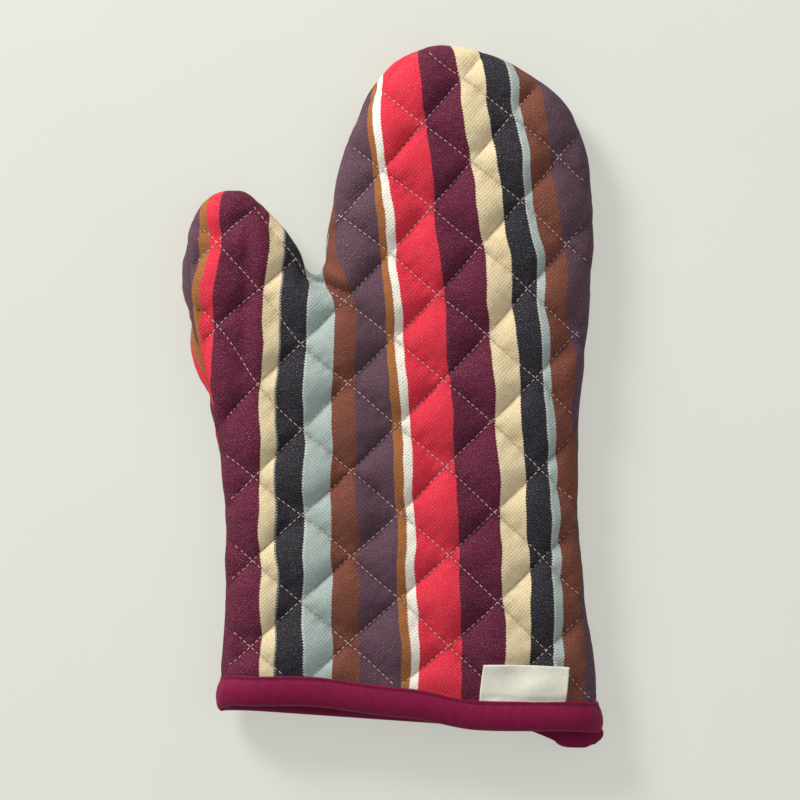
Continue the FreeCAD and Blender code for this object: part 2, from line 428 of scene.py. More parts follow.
def stripe_shift(across, points):
    """How far a stripe has moved sideways at a point, from where it crosses its level."""
    x, y = points[:, 0], points[:, 1]
    up = y - stripe_level
    hand = smooth(across, -34.0, 6.0)
    lean = -0.012 - 0.026 * hand - 0.012 * smooth(across, 30, 50) * smooth(y, 60, 120)
    bend = 0.00034 - 0.00056 * hand
    flare = smooth(y, 30, 72) * smooth(across, -56, -46) * (1 - smooth(across, -38, -28))
    by_crotch = smooth(x, crotch_x - 5, crotch_x + 6)
    fan = smooth(y, 36, 88) * (1 - smooth(across, -18, 0)) * by_crotch
    tuck = smooth(y, 44, 62) * (1 - smooth(across, -29, -21)) * by_crotch
    wander = 0.55 * waves(points, 34.0, 51) + 0.3 * waves(points, 15.0, 52)
    curve = np.where(up > 0, bend, -0.00015) * up * up
    return lean * up + curve + 3.2 * flare - 12.5 * fan - 5.0 * tuck + wander


def stripe_place(points):
    """Where the stripe through a point crosses its level."""
    across = points[:, 0].copy()
    for _ in range(4):
        across = points[:, 0] - stripe_shift(across, points)
    return across


# ---------------------------------------------------------------- plan meshes


class Samples:
    """Places on one panel: a plan point, the nearest outline point and the angle on the section of each."""

    def __init__(self, side, points):
        self.side = side
        self.sign = 1 if side == "front" else -1
        self.points = points
        self.foot, self.inward, self.distance = nearest_edge(points)
        self.angle = angle_at(self.distance)
        self.seam = np.zeros(len(points))
        self.fabric = fabric_points(self)

    def counts(self):
        terms = enumerate(families[self.side])
        return [phase(self.fabric, family, line_seed + number) for number, family in terms]

    def gaps(self):
        """Distance from the nearest line of each family."""
        return [line_distance(count) for count in self.counts()]

    def smooth_surface(self):
        """Where the places lie in space before the panel is quilted, with their outward unit normals."""
        by_rim = (self.distance < rim_reach)[:, None]
        plan = np.where(by_rim, self.foot + self.inward * self.distance[:, None], self.points)
        height = half_height + rise(self.angle, self.distance) * self.sign
        place = np.concatenate([plan, height[:, None]], 1)
        return place, section_normal(self.inward, self.angle, self.sign)


def fabric_points(part):
    """Plan points as they lie in the flat cloth, which runs on round the edge."""
    band = angle_at(rim_band)
    excess = arc_at(part.angle) - arc_at(band) - (rim_band - part.distance)
    outer = (part.distance < rim_band) | (part.angle < 0)
    return part.points - part.inward * np.where(outer, excess, 0)[:, None]


class Plan(Samples):
    """A flat mesh of one panel: rings along its edge, and triangles inside that follow the quilting."""

    def __init__(self, side, spacing, rings, along_edge):
        self.side = side
        self.sign = 1 if side == "front" else -1
        self.make_rings(rings, along_edge)
        self.make_inside(spacing)
        self.finish()

    def make_rings(self, rings, along_edge):
        """Outline samples, evenly spaced along the middle of the band, by rings from the seam inwards."""
        keep = edge_above(-9)
        length = lengths(edge_points[keep] + edge_inward[keep] * rim_band * 0.6)
        count = int(length[-1] / along_edge)
        at = np.linspace(0, length[-1], count)
        foot = points_at(at, length, edge_points[keep])
        inward = points_at(at, length, edge_inward[keep])
        inward /= np.linalg.norm(inward, axis=1)[:, None]
        seam = seam_angle(foot) * self.sign
        share = np.linspace(0, 1, rings)[:, None] ** 0.9
        self.rings, self.count = rings, count
        self.ring_foot = np.tile(foot, (rings, 1))
        self.ring_inward = np.tile(inward, (rings, 1))
        self.ring_angle = (seam + (angle_at(rim_band) - seam) * share).reshape(-1)
        self.ring_seam = np.tile(seam, rings)
        distance = plan_distance(self.ring_angle)[:, None]
        self.ring_points = self.ring_foot + self.ring_inward * distance

    def rows(self, spacing):
        """Points along the quilting lines, and along the cut below the crotch, which comes last."""
        lines = [line for _, _, line in quilting_lines(self.side, spacing)]
        cut = np.arange(cuff_y - 20, crotch_y - rim_band, spacing)
        return lines + [np.stack([np.full(len(cut), crotch_x), cut], 1)]

    def make_inside(self, spacing):
        """Triangles inside the rings. Vertices lie on the lines, in rows beside them, and in between."""
        border = self.ring_points[-self.count :]
        inside = polygon_test(border)
        kept, pairs = [], []
        grid = Spacing()
        rows_beside = ((0.45, 0.36), (1.05, 0.5))  # how far off a line, and the room a vertex needs there
        field_step, field_room, field_margin = (1.12, 0.97), 0.72, 0.55

        def keep(place, room):
            """The number of the vertex already within that room, or else of a new one."""
            near = grid.near(place, room * spacing)
            if near is None:
                grid.add(place, len(kept))
                kept.append(place)
            return len(kept) - 1 if near is None else near

        lines = self.rows(spacing)
        for line in lines:
            previous = None
            for place, ok in zip(line, inside(line, 0.6)):
                near = keep(place, 0.45) if ok else None
                if previous is not None and near is not None and previous != near:
                    pairs.append((previous, near))
                previous = near
        for offset, room in rows_beside:
            for line in lines[:-1]:
                run = np.gradient(line, axis=0)
                beside = np.stack([-run[:, 1], run[:, 0]], 1) / np.linalg.norm(run, axis=1)[:, None]
                for way in (-1, 1):
                    moved = line + beside * (way * (offset * spacing))
                    for place in moved[inside(moved, 0.5)]:
                        keep(place, room)
        x, y = np.meshgrid(
            np.arange(left_x, right_x, field_step[0] * spacing),
            np.arange(cuff_y - 20, top_y, field_step[1] * spacing),
        )
        x = x + field_step[0] / 2 * spacing * (np.arange(len(x)) % 2)[:, None]
        field = np.stack([x.ravel(), y.ravel()], 1)
        for place in field[inside(field, field_margin * spacing)]:
            keep(place, field_room)
        count = len(border)
        ends = [(i, (i + 1) % count) for i in range(count)]
        ends += [(a + count, b + count) for a, b in pairs]
        given = [Vector(p) for p in np.concatenate([border, np.array(kept)])]
        found = delaunay_2d_cdt(given, ends, [], 0, 1e-5)
        self.inside_points = np.array([tuple(p) for p in found[0]])
        faces = np.array([f for f in found[2] if len(f) == 3])
        self.inside_faces = faces[inside(self.inside_points[faces].mean(1), 0)]

    def finish(self):
        """Joins the rings and the inside, and keeps what each vertex needs for its place in space."""
        ring_count = len(self.ring_points)
        border = ring_count - self.count
        lookup = {tuple(np.round(p, 3)): border + i for i, p in enumerate(self.ring_points[border:])}
        number, extra = np.zeros(len(self.inside_points), int), []
        for i, place in enumerate(self.inside_points):
            known = lookup.get(tuple(np.round(place, 3)))
            if known is None:
                known = ring_count + len(extra)
                extra.append(place)
            number[i] = known
        extra = np.array(extra)
        foot, inward, distance = nearest_edge(extra)
        self.points = np.concatenate([self.ring_points, extra])
        self.foot = np.concatenate([self.ring_foot, foot])
        self.inward = np.concatenate([self.ring_inward, inward])
        self.angle = np.concatenate([self.ring_angle, angle_at(distance)])
        self.seam = np.concatenate([self.ring_seam, np.zeros(len(extra))])
        self.distance = np.concatenate([plan_distance(self.ring_angle), distance])
        self.fabric = fabric_points(self)
        above = over_binding(self)
        self.faces = []
        for face in [tuple(f) for f in number[self.inside_faces]] + grid_faces(self.rings, self.count):
            if min(above[list(face)]) > cloth_start - 1.5:
                run, other = self.points[list(face[1:3])] - self.points[face[0]]
                clockwise = len(face) == 3 and run[0] * other[1] - run[1] * other[0] < 0
                self.faces.append(face[::-1] if clockwise else face)


class Spacing:
    """Finds the nearest of the points added so far, if it is within a given distance."""

    cell = 1.0

    def __init__(self):
        self.cells = {}

    def near(self, place, room):
        i, j = int(place[0] // self.cell), int(place[1] // self.cell)
        reach = int(math.ceil(room / self.cell))
        best, found = room * room, None
        for a in range(i - reach, i + reach + 1):
            for b in range(j - reach, j + reach + 1):
                for x, y, number in self.cells.get((a, b), ()):
                    gap = (x - place[0]) ** 2 + (y - place[1]) ** 2
                    if gap < best:
                        best, found = gap, number
        return found

    def add(self, place, number):
        key = (int(place[0] // self.cell), int(place[1] // self.cell))
        self.cells.setdefault(key, []).append((place[0], place[1], number))


def polygon_test(border):
    """A test for being inside a closed border, by more than a margin from the mitt's rim band."""
    ends = np.roll(border, -1, axis=0)

    def inside(points, margin):
        result = np.zeros(len(points), bool)
        for start in range(0, len(points), 4000):
            p = points[start : start + 4000]
            x, y = p[:, 0:1], p[:, 1:2]
            crosses = (border[:, 1] > y) != (ends[:, 1] > y)
            run = ends[:, 1] - border[:, 1]
            run = np.where(np.abs(run) < 1e-12, 1e-12, run)
            at = border[:, 0] + (y - border[:, 1]) * (ends[:, 0] - border[:, 0]) / run
            result[start : start + 4000] = (crosses & (x < at)).sum(1) % 2 == 1
        if margin > 0:
            chosen = np.flatnonzero(result)
            if len(chosen):
                distance = nearest_edge(points[chosen])[2]
                tail = above_cuff(points[chosen]) > above_cuff(border[[0, -1]]).max() + margin
                result[chosen] = (distance > rim_band + margin) & tail
        return result

    return inside


# ---------------------------------------------------------------- the quilted surface


def cuff_lift(across, side):
    """How far above the cuff line a panel's edge lies: the mitt gapes, and its right corner turns up."""
    corner = 2.7 * smooth(across, 36, 92)
    if side == "back":
        return corner
    mouth = 3.3 * (1 - smooth(across, 6, 38)) * smooth(across, -90, -76)
    return corner + mouth + 2.4 * bell(across + 38, 24)


def over_binding(part):
    """Distance above the panel's own cuff edge."""
    return above_cuff(part.points) - cuff_lift(part.points[:, 0], part.side)


def by_binding(part):
    """1 next to the binding, which presses the cloth down, and less further up."""
    return np.exp(-np.maximum(over_binding(part) - binding_width, 0) / 5.0)


def crotch_line(part):
    """Where places lie by the fold below the crotch: distance off it, and its strength there."""
    along = unit(-47)
    beside = np.array([-along[1], along[0]])
    away = part.points - (crotch + np.array([0.3, -0.5]))
    run, off = away @ along, away @ beside
    bend = off - 0.012 * run * run
    return bend, smooth(run, -4, 1) * (1 - smooth(run, 9, 24))


def crotch_fold(part):
    """The height of that fold: a sharp dip with a bulge on the fingers' side."""
    bend, fade = crotch_line(part)
    dip = -3.2 * np.exp(-np.abs(bend + 0.5) / np.where(bend > -0.5, 0.9, 3.4))
    return fade * (dip + 1.9 * bell(bend - 2.8, 2.8))


def crotch_distance(points):
    """Distance from the point where the thumb and the fingers part."""
    return np.hypot(points[:, 0] - crotch_x, points[:, 1] - crotch_y + 1.0)


def crotch_tuck(points):
    """How much further in the seam lies where the thumb and fingers part, which makes a sharp notch."""
    return 3.4 * bell(crotch_distance(points), 6.5)


def soft_folds(part):
    """Slack in the cloth: unevenness of three sizes, and a fold and ridge down the front of the thumb."""
    seed = 3 if part.side == "front" else 8
    uneven = 0.55 * waves(part.points, 42.0, seed) + 0.22 * waves(part.points, 17.0, seed + 1)
    uneven = uneven + 0.07 * waves(part.points, 6.0, seed + 2, 14)
    if part.side == "back":
        return uneven
    y = part.points[:, 1]
    x = part.points[:, 0] - 0.04 * (y - 40)
    fold = 0.9 * bell(x + 63, 3.5) - 1.3 * bell(x + 70, 3.0)
    return fold * smooth(y, -5, 25) * (1 - smooth(y, 70, 92)) + uneven


def puckers(counts, gaps):
    """Small ripples that run out from each line of stitches, square to it."""
    total = 0
    for own, other in ((0, 1), (1, 0)):
        along = counts[other] * pitch
        wave = np.sin(along * 2 * np.pi / 6.1 + 2.0 * np.sin(along / 11.0 + 3 * np.round(counts[own])))
        near = np.exp(-gaps[own] / 3.2) * (1 - np.exp(-gaps[own] / 0.5))
        total = total + 0.3 * wave * near
    return total


def quilted_height(part):
    """How far the cloth stands out from the smooth surface. It lies below it along the stitches."""
    counts = part.counts()
    gaps = [line_distance(count) for count in counts]
    full = puff(gaps[0]) * puff(gaps[1])
    beside = beside_seam(part)
    near_seam = 1 - np.exp(-beside / 1.8)
    depth = (rim_valley + (valley - rim_valley) * smooth(beside, 2, 16)) * near_seam
    uneven = 1 + 0.22 * waves(part.points, 38.0, 61 if part.side == "front" else 66)
    height = plump - depth * (1 - full ** np.clip(uneven, 0.6, 1.6))
    height = height + near_seam * (puckers(counts, gaps) + soft_folds(part))
    if part.side == "front":
        height = height + crotch_fold(part) * near_seam
    pressed = by_binding(part)
    height = height * (1 - 0.8 * pressed) - 1.3 * pressed
    height = np.maximum(height, plump - valley - 0.45) - crotch_tuck(part.points)
    return np.minimum(height, 2.2) - seam_groove * np.exp(-beside / 1.2)


def beside_seam(part):
    """Distance along the section from the edge seam."""
    return np.maximum(arc_at(part.seam) - arc_at(part.angle), 0)


def quilted_surface(part, inside=0.0):
    """The cloth's outer face, or a face that lies inside it by a distance."""
    place, normal = part.smooth_surface()
    return place + normal * np.asarray(quilted_height(part) - inside)[:, None], normal


def lining_surface(part, inside=0.0):
    """The lining's face towards the hand, pulled out along the stitches."""
    place, normal = part.smooth_surface()
    gaps = part.gaps()
    full = puff(gaps[0]) * puff(gaps[1])
    depth = 0.9 * (1 - full) * smooth(part.distance, 4, 16)
    height = depth - panel_thickness + 0.15 * waves(part.points, 20.0, 31)
    height = height + 0.35 * by_binding(part) - seam_allowance(part) - crotch_tuck(part.points)
    return place + normal * (height + inside)[:, None], normal


def seam_allowance(part):
    """The bulk of the turned-in edges along the seam, on the inner side."""
    return 0.3 * np.exp(-beside_seam(part) / 3.0)


# ---------------------------------------------------------------- materials


def srgb(*levels):
    """A colour given as screen levels from 0 to 255, in the linear values that Blender takes."""
    share = [level / 255 for level in levels]
    return tuple(s / 12.92 if s <= 0.04045 else ((s + 0.055) / 1.055) ** 2.4 for s in share) + (1.0,)


class Nodes:
    """A new material, and short ways to add shader nodes to it."""

    def __init__(self, name, roughness, sheen=0.0):
        self.material = bpy.data.materials.new(name)
        self.material.use_nodes = True
        self.tree = self.material.node_tree
        self.shader = self.tree.nodes["Principled BSDF"]
        self.shader.inputs["Roughness"].default_value = roughness
        self.shader.inputs["Sheen Weight"].default_value = sheen
        self.shader.inputs["Sheen Roughness"].default_value = 0.5
        self.shader.inputs["Specular IOR Level"].default_value = 0.15

    def add(self, kind, **values):
        node = self.tree.nodes.new(kind)
        for key, value in values.items():
            setattr(node, key, value)
        return node

    def put(self, socket, value):
        """Sets a socket to a value, or links another node's output to it."""
        if isinstance(value, (int, float, tuple)):
            socket.default_value = value
        else:
            self.tree.links.new(value, socket)

    def math(self, operation, *values):
        node = self.add("ShaderNodeMath", operation=operation)
        for socket, value in zip(node.inputs, values):
            self.put(socket, value)
        return node.outputs[0]

    def times(self, first, second):
        return self.math("MULTIPLY", first, second)

    def plus(self, first, second):
        return self.math("ADD", first, second)

    def vector(self, x, y):
        node = self.add("ShaderNodeCombineXYZ")
        self.put(node.inputs[0], x)
        self.put(node.inputs[1], y)
        return node.outputs[0]

    def noise(self, vector, scale, detail=2.0, roughness=0.5):
        node = self.add("ShaderNodeTexNoise")
        values = {"Vector": vector, "Scale": scale, "Detail": detail, "Roughness": roughness}
        for name, value in values.items():
            self.put(node.inputs[name], value)
        return node.outputs["Fac"]

    def slubs(self, across, along, detail, roughness):
        """Noise with its own scale across the cloth and along it."""
        vector = self.vector(self.times(*across), self.times(*along))
        return self.noise(vector, 1.0, detail, roughness)

    def mix(self, factor, first, second):
        """A blend of two colours."""
        node = self.add("ShaderNodeMix", data_type="RGBA")
        self.put(node.inputs["Factor"], factor)
        self.put(node.inputs[6], first)  # 6, 7 and 2 are the sockets of the colour kind
        self.put(node.inputs[7], second)
        return node.outputs[2]

    def span(self, value, low, high, to_low=0.0, to_high=1.0):
        """A value from low to high, mapped to another range and held inside it."""
        node = self.add("ShaderNodeMapRange", clamp=True)
        for socket, number in zip(node.inputs[:5], (value, low, high, to_low, to_high)):
            self.put(socket, number)
        return node.outputs[0]

    def fabric(self):
        """The mesh's fabric attribute as a vector, and its three parts: across, along and crease_shade, the
        painted shade along creases.
        """
        node = self.add("ShaderNodeAttribute", attribute_name="fabric")
        split = self.add("ShaderNodeSeparateXYZ")
        self.put(split.inputs[0], node.outputs["Vector"])
        return node.outputs["Vector"], split.outputs

    def weave(self, across, along, count):
        """Height of a plain weave with count threads to a millimetre: 0 in the gaps, 1 on the threads."""
        weft, warp = (self.math("SINE", self.times(place, math.pi * count)) for place in (across, along))
        return self.plus(self.times(self.times(weft, warp), 0.5), 0.5)

    def bands(self, place, bands):
        """A colour that changes sharply at each band's start, in millimetres across the stripes."""
        ramp = self.add("ShaderNodeValToRGB")
        ramp.color_ramp.interpolation = "CONSTANT"
        self.put(ramp.inputs[0], place)
        elements = ramp.color_ramp.elements
        elements.remove(elements[1])
        for number, (start, colour) in enumerate(bands):
            share = max(0.0, (start - stripe_low) / (stripe_high - stripe_low))
            element = elements[0] if number == 0 else elements.new(share)
            element.position = share
            element.color = colour
        return ramp.outputs[0]

    def bump(self, height, distance, strength, below=None):
        node = self.add("ShaderNodeBump")
        node.inputs["Distance"].default_value = distance
        node.inputs["Strength"].default_value = strength
        self.put(node.inputs["Height"], height)
        if below is not None:
            self.put(node.inputs["Normal"], below)
        self.put(self.shader.inputs["Normal"], node.outputs["Normal"])
        return node.outputs["Normal"]

    def finished(self, colour):
        """The material, in that colour."""
        self.put(self.shader.inputs["Base Color"], colour)
        return self.material


black = (0.0, 0.0, 0.0, 1.0)
white = (1.0, 1.0, 1.0, 1.0)


stripe_colours = {
    "purple": srgb(92, 64, 78),
    "orange": srgb(163, 101, 52),
    "red": srgb(227, 47, 69),
    "burgundy": srgb(98, 24, 54),
    "cream": srgb(236, 215, 172),
    "black": srgb(39, 39, 47),
    "grey": srgb(172, 186, 180),
    "rust": srgb(121, 67, 51),
    "white": srgb(250, 243, 228),
}


def striped_cloth():
    """Yarn-dyed stripes: saw-toothed edges where they meet, pale weft flecks, slubs, a weave, and painted
    shade along creases.
    """
    n = Nodes("striped cloth", 0.85, 0.02)
    _, (across, along, crease_shade) = n.fabric()
    tooth = n.math("SINE", n.times(along, 2 * math.pi / 1.35))
    ragged = n.noise(n.vector(across, along), 0.9, 3.0)
    moved = n.plus(across, n.times(tooth, 0.2))
    moved = n.plus(moved, n.times(n.math("SUBTRACT", ragged, 0.5), 0.6))
    place = n.span(moved, stripe_low, stripe_high)
    starts = [stripe_low] + [right for right, _ in stripes[:-1]]
    names = [name for _, name in stripes]
    base = n.bands(place, [(start, stripe_colours[name]) for start, name in zip(starts, names)])
    lines = [(stripe_low, black)]
    for start, before, after in zip(starts[1:], names, names[1:]):
        if {before, after} & {"cream", "white"} or {before, after} == {"grey", "black"}:
            lines += [(start - 0.35, white), (start + 0.25, black)]
    dotted = n.times(n.bands(place, lines), n.span(tooth, -0.3, 0.6, 0.05, 0.55))
    colour = n.mix(dotted, base, srgb(240, 232, 215))
    streak = n.slubs((across, 2.6), (along, 0.5), 3.0, 0.7)
    colour = n.mix(n.span(streak, 0.35, 0.68, 0.0, 0.28), colour, black)
    speck = n.slubs((across, 1.7), (along, 1.9), 2.0, 0.7)
    colour = n.mix(n.span(speck, 0.58, 0.74, 0.0, 0.5), colour, srgb(212, 186, 182))
    colour = n.mix(n.span(speck, 0.28, 0.45, 0.30, 0.0), colour, black)
    cord = n.slubs((across, 0.12), (along, 2.3), 3.0, 0.6)
    colour = n.mix(n.span(cord, 0.50, 0.70, 0.0, 0.03), colour, srgb(235, 220, 205))
    # Painted shade: the cloth is darkened towards black where crease_shade is high, along the quilting
    # valleys, the edge seam and the fold below the crotch.
    colour = n.mix(n.span(crease_shade, 0.25, 2.0, 0.0, 0.68), colour, black)
    lower = n.bump(speck, 0.0005, 0.6)
    n.bump(n.weave(across, along, 1.05), 0.00022, 0.6, lower)
    return n.finished(colour)


def plain_cloth(name, colour, shade, count, roughness, slub=1.0):
    """A one-colour woven cloth or tape: faint cloudiness, slubs, a weave, and painted shade along creases."""
    n = Nodes(name, roughness, 0.04)
    vector, (across, along, crease_shade) = n.fabric()
    cloud = n.noise(vector, 0.35, 4.0, 0.6)
    thread = n.slubs((across, 0.6), (along, 3.0), 3.0, 0.7)
    pale = tuple(min(1.0, level * 1.9 + 0.02) for level in colour[:3]) + (1.0,)
    base = n.mix(n.span(cloud, 0.35, 0.65), colour, shade)
    base = n.mix(n.span(thread, 0.45, 0.75, 0.0, 0.25 * slub), base, pale)
    # Painted shade: darker towards black where crease_shade is high.
    base = n.mix(n.span(crease_shade, 0.2, 1.0, 0.0, 0.35), base, black)
    lower = n.bump(thread, 0.0003, 0.35)
    n.bump(n.weave(across, along, count), 0.0002, 0.55, lower)
    return n.finished(base)


def wadding_material():
    """Matted white fibres."""
    n = Nodes("wadding", 0.95, 0.2)
    place = n.add("ShaderNodeTexCoord").outputs["Object"]
    fibre = n.noise(place, 900.0, 6.0, 0.75)
    clump = n.noise(place, 120.0, 3.0, 0.6)
    colour = n.mix(n.span(clump, 0.3, 0.7), srgb(236, 233, 224), srgb(214, 209, 196))
    n.bump(fibre, 0.0006, 0.8)
    return n.finished(n.mix(n.span(fibre, 0.4, 0.7, 0.0, 0.3), colour, srgb(250, 249, 244)))


def thread_material(name, colour, shade):
    """Twisted sewing thread: fine slanting plies, a little change of tone from stitch to stitch, and painted
    shade between the plies.
    """
    n = Nodes(name, 0.6, 0.15)
    place = n.add("ShaderNodeTexCoord").outputs["Object"]
    tone = n.noise(place, 350.0)
    wave = n.add("ShaderNodeTexWave", wave_type="BANDS", bands_direction="DIAGONAL")
    for socket, value in (("Vector", place), ("Scale", 1500.0), ("Distortion", 2.0)):
        n.put(wave.inputs[socket], value)
    ply = wave.outputs["Fac"]
    n.bump(ply, 0.0001, 0.5)
    colour = n.mix(n.span(tone, 0.35, 0.65), colour, shade)
    # Painted shade: darker in the grooves between the plies.
    return n.finished(n.mix(n.span(ply, 0.0, 0.5, 0.25, 0.0), colour, black))


def floor_material():
    """A plain pale tabletop with a very faint unevenness."""
    n = Nodes("tabletop", 0.9)
    place = n.add("ShaderNodeTexCoord").outputs["Object"]
    n.shader.inputs["Emission Color"].default_value = srgb(232, 232, 222)
    n.shader.inputs["Emission Strength"].default_value = 0.55
    n.bump(n.noise(place, 700.0, 3.0), 0.0002, 0.25)
    cloud = n.span(n.noise(place, 6.0, 3.0), 0.3, 0.7)
    return n.finished(n.mix(cloud, srgb(150, 151, 145), srgb(146, 148, 141)))


cloth_material = striped_cloth()
lining_material = plain_cloth("lining cloth", srgb(226, 214, 190), srgb(216, 202, 176), 1.2, 0.88)
tape_material = plain_cloth("binding tape", srgb(128, 10, 60), srgb(112, 8, 50), 1.5, 0.62, 0.25)
label_material = plain_cloth("label cloth", srgb(226, 222, 204), srgb(216, 213, 196), 1.7, 0.75)
pad_material = wadding_material()
quilt_thread = thread_material("quilting thread", srgb(224, 196, 188), srgb(200, 170, 162))
seam_thread = thread_material("seam thread", srgb(112, 22, 54), srgb(90, 15, 42))


# ---------------------------------------------------------------- pieces


def new_mesh(name, points, faces, material, fabric=None):
    """A smooth mesh object from points in millimetres. fabric is what Nodes.fabric reads."""
    mesh = bpy.data.meshes.new(name)
    mesh.from_pydata((np.asarray(points) * MM).tolist(), [], [tuple(map(int, f)) for f in faces])
    if fabric is not None:
        layer = mesh.attributes.new("fabric", "FLOAT_VECTOR", "POINT")
        layer.data.foreach_set("vector", np.asarray(fabric, np.float32).ravel())
    mesh.polygons.foreach_set("use_smooth", [True] * len(mesh.polygons))
    mesh.materials.append(material)
    mesh.update()
    piece = bpy.data.objects.new(name, mesh)
    bpy.context.scene.collection.objects.link(piece)
    return piece


def on_side(x, side):
    """Which places lie on one side of the line that runs down from the crotch."""
    return x < crotch_x if side == "thumb_side" else x >= crotch_x


def nodes_of(kind, side):
    """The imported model's nodes of one kind on one side."""
    return [f"{kind}_{end}" for end in (["thumb"] if side == "thumb_side" else ["palm", "fingers"])]


def part_of(points, faces, side):
    """The faces on one side, numbered anew, and the vertices they use."""
    wanted = on_side(np.array([points[list(f)][:, 0].mean() for f in faces]), side)
    chosen = [f for f, keep in zip(faces, wanted) if keep]
    used = sorted({i for f in chosen for i in f})
    number = {old: new for new, old in enumerate(used)}
    return np.array(used), [tuple(number[i] for i in f) for f in chosen]


def vertex_normals(points, faces):
    """Unit normals, each the sum of its faces' area vectors."""
    total = np.zeros_like(points)
    for size, ends in ((3, (1, 0, 2, 0)), (4, (2, 0, 3, 1))):
        chosen = np.array([f for f in faces if len(f) == size])
        if len(chosen):
            a, b, c, d = (points[chosen[:, k]] for k in ends)
            area = np.cross(a - b, c - d)
            for k in range(size):
                np.add.at(total, chosen[:, k], area)
    return total / np.maximum(np.linalg.norm(total, axis=1), 1e-12)[:, None]


def attach(piece, side):
    """Bakes a piece's placement into its mesh. The ends of the bend between the palm and the thumb, or the
    palm and the fingers, are worked out but not used.
    """
    if side == "thumb_side":
        other, start, end = "thumb", crotch, crotch + thumb_way * thumb_blend
    else:
        other, start = "fingers", np.array([crotch_x, finger_fold_y])
        end = start + np.array([0.0, finger_blend])
    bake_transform(piece)


def on_table(points):
    """Presses what would lie below the tabletop into a thin layer just above it."""
    low = points[:, 2] < table_softness
    pressed = points.copy()
    pressed[low, 2] = table_softness * np.exp((points[low, 2] - table_softness) / table_softness)
    return pressed


def oriented(faces, sign):
    """Faces whose normals point out of the mitt."""
    return faces if sign > 0 else [f[::-1] for f in faces]


def settled(panel, plan):
    """How the stitched cloth moves when the wadding pushes it out: vertices held on the lines, slack between.

    The cloth is simulated on a mesh of its own, larger than life, and starts as the quilted surface.
    """
    start, _ = quilted_surface(plan)
    piece = new_mesh("settling", start * settling_scale, oriented(plan.faces, plan.sign), cloth_material)
    mesh = piece.data
    held = (np.minimum(*plan.gaps()) < 0.4) | (beside_seam(plan) < 3.0)
    held |= over_binding(plan) < binding_width + 1.5
    group = piece.vertex_groups.new(name="held")
    group.add(np.flatnonzero(held).tolist(), 1.0, "REPLACE")
    modifier = piece.modifiers.new("cloth", "CLOTH")
    cloth = modifier.settings
    cloth.quality = 6
    cloth.mass = 0.3
    cloth.tension_stiffness = cloth.compression_stiffness = 15.0
    cloth.shear_stiffness = 5.0
    cloth.bending_stiffness = 0.4
    cloth.air_damping = 3.0
    cloth.vertex_group_mass = "held"
    cloth.shrink_min = -0.022
    cloth.use_pressure = True
    cloth.uniform_pressure_force = 2.5
    cloth.effector_weights.gravity = 0.0
    modifier.point_cache.frame_end = settling_frames
    for number in range(1, settling_frames + 1):
        bpy.context.scene.frame_set(number)
    graph = bpy.context.evaluated_depsgraph_get()
    after = piece.evaluated_get(graph).to_mesh()
    moved = np.empty(len(start) * 3, np.float32)
    after.vertices.foreach_get("co", moved)
    bpy.data.objects.remove(piece)
    bpy.data.meshes.remove(mesh)
    bpy.context.scene.frame_set(1)
    change = moved.reshape(-1, 3) / (settling_scale * MM) - start
    change[held] = 0
    pairs = np.array(sorted({tuple(sorted((f[k], f[k - 1]))) for f in plan.faces for k in range(len(f))}))
    for _ in range(3):
        total, count = np.zeros_like(change), np.zeros(len(change))
        for here, there in (pairs.T, pairs.T[::-1]):
            np.add.at(total, here, change[there])
            np.add.at(count, here, 1)
        change = change * 0.4 + total / np.maximum(count, 1)[:, None] * 0.6
        change[held] = 0
    length = np.linalg.norm(change, axis=1)
    change *= np.minimum(1, most_settled / np.maximum(length, 1e-9))[:, None]
    if panel == "front":
        change *= 1 - under_label(plan.points)[:, None]
    return change


def spread(coarse, change, plan):
    """Carries movements from a coarse plan to a finer one, by where each point lies in the flat cloth."""
    flat = [Vector((x, y, 0)) for x, y in coarse.fabric]
    triangles = []
    for face in coarse.faces:
        triangles += [(face[0], face[k], face[k + 1]) for k in range(1, len(face) - 1)]
    tree = BVHTree.FromPolygons(flat, triangles)
    result = np.zeros((len(plan.fabric), 3))
    for number, (x, y) in enumerate(plan.fabric):
        hit = tree.find_nearest(Vector((x, y, 0)))
        corners = triangles[hit[2]]
        a, b, c = (flat[k] for k in corners)
        total = (b - a).cross(c - a).z
        if abs(total) < 1e-9:
            continue
        at = hit[0]
        first = (b - at).cross(c - at).z / total
        second = (c - at).cross(a - at).z / total
        weights = (first, second, 1 - first - second)
        result[number] = sum(w * change[k] for w, k in zip(weights, corners))
    return result


def under_label(points):
    """1 where the label lies on the cloth, falling to 0 a few millimetres round it."""
    from_left = (points - np.array([0.0, cuff_y])) @ cuff_across - label_left
    across = np.maximum(np.abs(from_left - label_width / 2) - label_width / 2, 0)
    up = np.maximum(above_cuff(points) - binding_width - label_height, 0)
    return 1 - smooth(np.hypot(across, up), 0, 5)


def add_cloth(panel, kind, node, plan, points, faces, fabric, material):
    """One cloth of a panel as its two pieces."""
    normals = vertex_normals(points, faces)
    for side in sides:
        used, chosen = part_of(plan.points, faces, side)
        piece = new_mesh(f"{panel}_{kind}_{side}", points[used], chosen, material, fabric[used])
        piece.data.normals_split_custom_set_from_vertices(normals[used].tolist())
        attach(piece, side)
        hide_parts(*nodes_of(f"{panel}_{node}", side))


